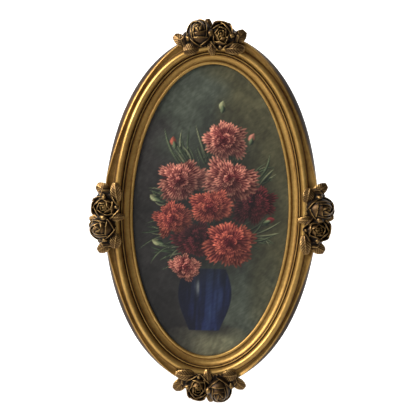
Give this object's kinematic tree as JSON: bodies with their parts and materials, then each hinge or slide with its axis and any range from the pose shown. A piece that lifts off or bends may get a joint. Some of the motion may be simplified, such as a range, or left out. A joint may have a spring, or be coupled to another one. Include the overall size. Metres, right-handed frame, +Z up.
{
  "type": "framed oval picture",
  "caption": "Oval flower painting on panel in a gilded moulded frame with applied rose castings at the top, bottom and sides, made to hang on a wall.",
  "frame": {"origin": "centre of the flat outer face of the hanger at the top of the back, in the plane of the wall", "axes": "+Y out of the back into the wall, so that the painting faces -Y; +Z up; +X to the right as seen from the front"},
  "size_m": [0.3921, 0.0487, 0.6145],
  "materials": {
    "aged_gilding": "aged gold leaf and bronze paint on turned wood, worn on the crests and dark in the grooves",
    "dark_gilt_composition": "moulded composition with a dark bronze patina, gold rubbed on the high parts",
    "oil_paint": "oil paint on a thin panel, satin",
    "hanger_steel": "brass-washed stamped steel, dull"
  },
  "bodies": {
    "root": {"frame": "aged_gilding", "rose_cluster_top": "dark_gilt_composition", "rose_cluster_right": "dark_gilt_composition", "rose_cluster_bottom": "dark_gilt_composition", "rose_cluster_left": "dark_gilt_composition", "painting": "oil_paint", "sawtooth_hanger": "hanger_steel"}
  },
  "joints": []
}
